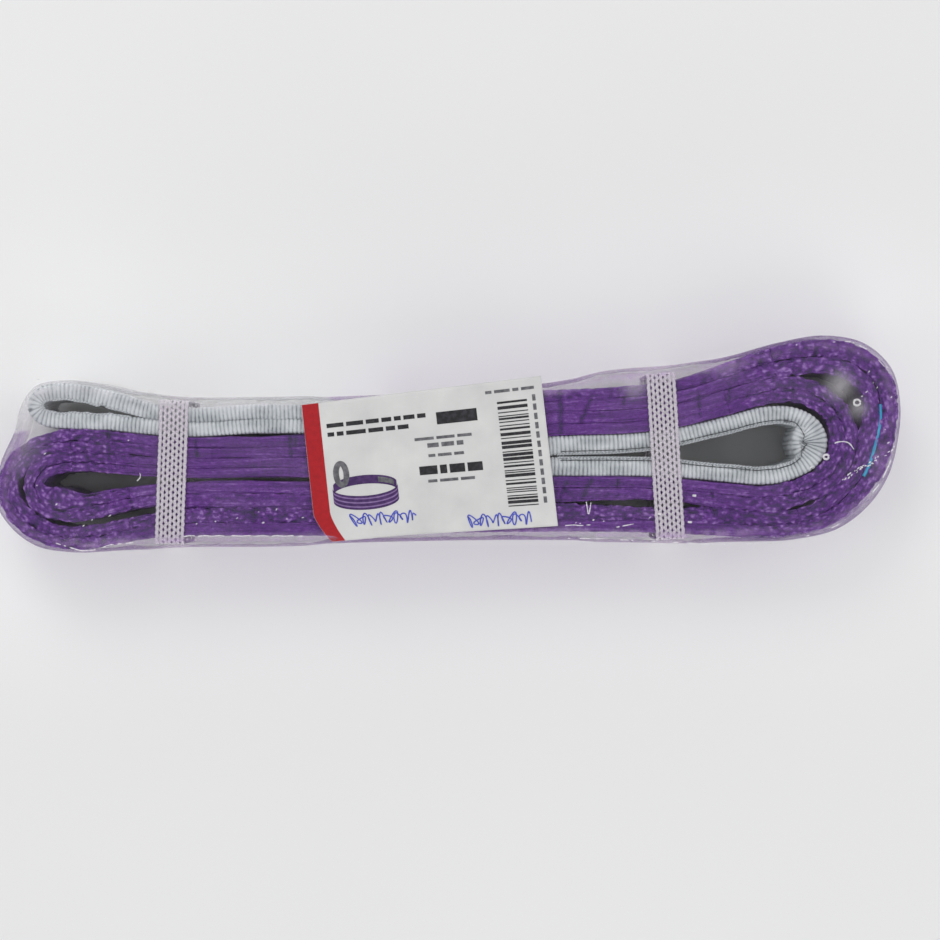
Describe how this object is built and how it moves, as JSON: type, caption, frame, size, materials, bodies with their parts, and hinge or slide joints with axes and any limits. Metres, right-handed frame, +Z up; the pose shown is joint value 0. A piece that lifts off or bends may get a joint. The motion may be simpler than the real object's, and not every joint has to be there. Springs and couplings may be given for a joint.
{
  "type": "flat web sling",
  "caption": "Duplex polyester flat web sling with a sleeved soft eye at each end, rolled flat on its selvages, held by elastic tie bands and shrink wrapped with a label.",
  "frame": {"origin": "middle of the package's footprint, on the surface it rests on", "axes": "+X along the roll towards the inner eye's tip, +Y across the roll towards the side where the free outer eye lies, +Z up, across the webbing's width"},
  "size_m": [0.3038, 0.074, 0.0331],
  "materials": {
    "violet_webbing": "close woven polyester webbing, matt with a slight sheen",
    "grey_sleeve": "ribbed polyester sleeve cloth, matt",
    "sewing_thread": "bonded polyester lockstitch",
    "white_elastic": "openwork knitted elastic",
    "blue_tag": "coated polyester tag, satin",
    "clear_film": "clear shrink film, glossy and wrinkled",
    "label_paper": "smooth coated paper label"
  },
  "bodies": {
    "sling": {"core_run_outer_ply": "violet_webbing", "core_run_inner_ply": "violet_webbing", "left_inner_turn_outer_ply": "violet_webbing", "left_inner_turn_inner_ply": "violet_webbing", "lower_inner_run_outer_ply": "violet_webbing", "lower_inner_run_inner_ply": "violet_webbing", "right_inner_turn_outer_ply": "violet_webbing", "right_inner_turn_inner_ply": "violet_webbing", "upper_inner_run_outer_ply": "violet_webbing", "upper_inner_run_inner_ply": "violet_webbing", "left_outer_turn_outer_ply": "violet_webbing", "left_outer_turn_inner_ply": "violet_webbing", "lower_outer_run_outer_ply": "violet_webbing", "lower_outer_run_inner_ply": "violet_webbing", "right_outer_turn_outer_ply": "violet_webbing", "right_outer_turn_inner_ply": "violet_webbing", "upper_outer_run_outer_ply": "violet_webbing", "upper_outer_run_inner_ply": "violet_webbing", "inner_eye_webbing": "violet_webbing", "inner_eye_sleeve": "grey_sleeve", "inner_eye_sleeve_hem": "grey_sleeve", "inner_eye_throat_stitching": "sewing_thread", "outer_eye_webbing": "violet_webbing", "outer_eye_sleeve": "grey_sleeve", "outer_eye_sleeve_hem": "grey_sleeve", "outer_eye_throat_stitching": "sewing_thread", "body_seam_stitching": "sewing_thread", "identification_tag": "blue_tag", "film_bottom_sheet": "clear_film"},
    "left_band": {"left_tie_band": "white_elastic"},
    "right_band": {"right_tie_band": "white_elastic"},
    "film": {"film_wall": "clear_film", "film_top_sheet": "clear_film", "paper_label": "label_paper"}
  },
  "joints": [
    {"name": "left_band_slide", "type": "slide", "parent": "sling", "child": "left_band", "axis": [1, 0, 0], "range_m": [0, 0.035]},
    {"name": "right_band_slide", "type": "slide", "parent": "sling", "child": "right_band", "axis": [-1, 0, 0], "range_m": [0, 0.012]},
    {"name": "film_lift", "type": "slide", "parent": "sling", "child": "film", "axis": [0, 0, 1], "range_m": [0, 0.06]}
  ]
}
